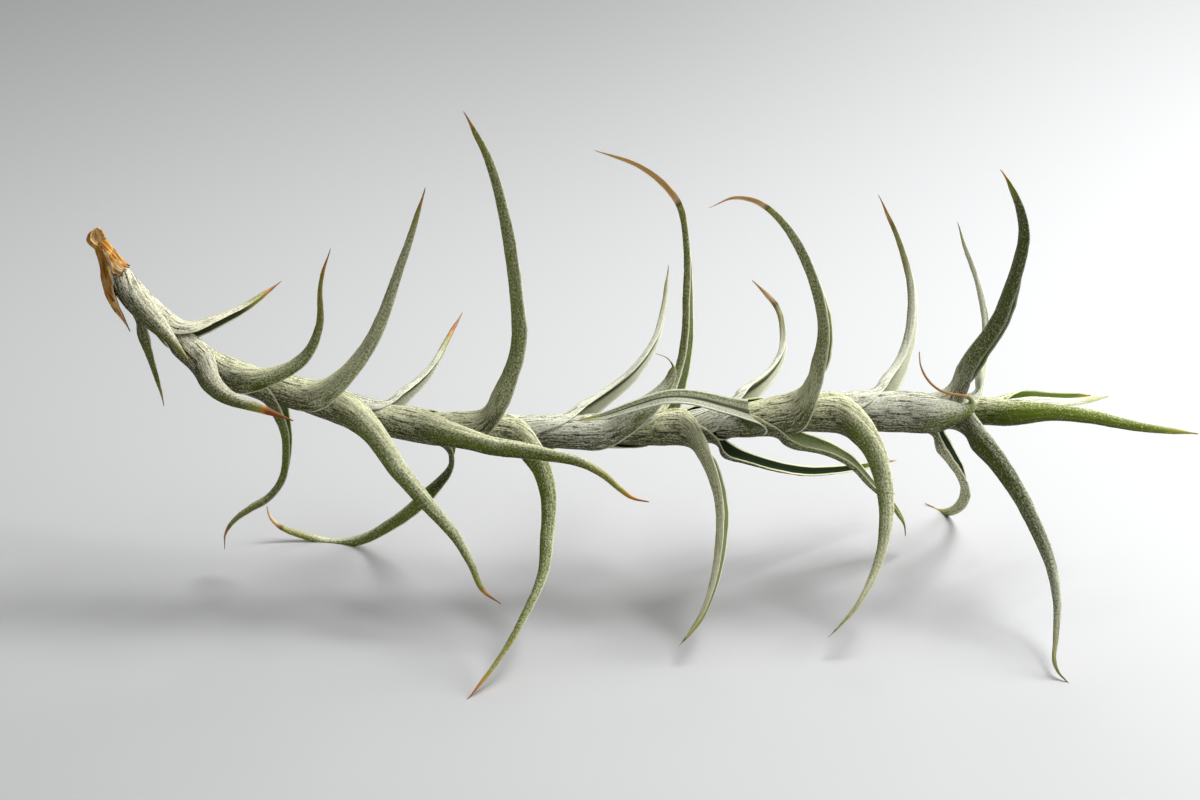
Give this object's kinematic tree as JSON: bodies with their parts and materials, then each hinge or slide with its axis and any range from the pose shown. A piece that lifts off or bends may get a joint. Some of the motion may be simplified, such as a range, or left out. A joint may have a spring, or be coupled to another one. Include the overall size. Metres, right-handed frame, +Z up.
{
  "type": "air plant",
  "caption": "Caulescent air plant lying on its leaves: a long trunk of clasping sheaths with channelled, recurved, tapering blades in a spiral and a dried lower end.",
  "frame": {"origin": "on the surface that the plant rests on, under the middle of its outline box", "axes": "+X along the trunk from the dried end to the growing tip, +Z up, -Y towards the side with the hanging front leaves"},
  "size_m": [0.2778, 0.114, 0.1169],
  "materials": {
    "silver_leaf": "matte grey-green leaf under silvery scales",
    "pale_leaf": "matte pale leaf, thickly scaled",
    "old_leaf": "matte old leaf, greyed, with dry tip",
    "green_leaf": "matte green leaf with thin scales",
    "dark_leaf": "satin young leaf, dark green",
    "dry_leaf": "papery dried leaf, orange-brown",
    "stem": "dull woody stem"
  },
  "bodies": {
    "root": {"withered_leaf": "dry_leaf", "torn_sheath": "dry_leaf", "leaf_01_pressed": "old_leaf", "leaf_02_hanging": "old_leaf", "leaf_03_rising": "old_leaf", "leaf_04_tiny": "old_leaf", "leaf_05_orange_tip": "old_leaf", "leaf_06_s_curve": "silver_leaf", "leaf_07_under": "silver_leaf", "leaf_08_tall": "silver_leaf", "leaf_09_front": "silver_leaf", "leaf_10_far": "pale_leaf", "leaf_11_along_front": "silver_leaf", "leaf_12_back_left_foot": "silver_leaf", "leaf_13_tallest": "silver_leaf", "leaf_14_front_left_foot": "silver_leaf", "leaf_15_far_middle": "pale_leaf", "leaf_16_broad_twisted": "pale_leaf", "leaf_17_dry_tipped": "silver_leaf", "leaf_18_hanging_middle": "silver_leaf", "leaf_19_dark_channel": "green_leaf", "leaf_20_far_pale": "pale_leaf", "leaf_21_reflexed": "pale_leaf", "leaf_22_far_down": "silver_leaf", "leaf_23_hooked": "silver_leaf", "leaf_24_hanging_right": "silver_leaf", "leaf_25_far_tall": "pale_leaf", "leaf_26_boat": "pale_leaf", "leaf_27_back_right_foot": "green_leaf", "leaf_28_stout_dark": "dark_leaf", "leaf_29_front_right_foot": "dark_leaf", "leaf_30_behind": "pale_leaf", "leaf_31_long_right": "dark_leaf", "leaf_32_thin_green": "dark_leaf", "leaf_33_innermost": "pale_leaf", "dried_cap": "dry_leaf", "stem": "stem"}
  },
  "joints": []
}
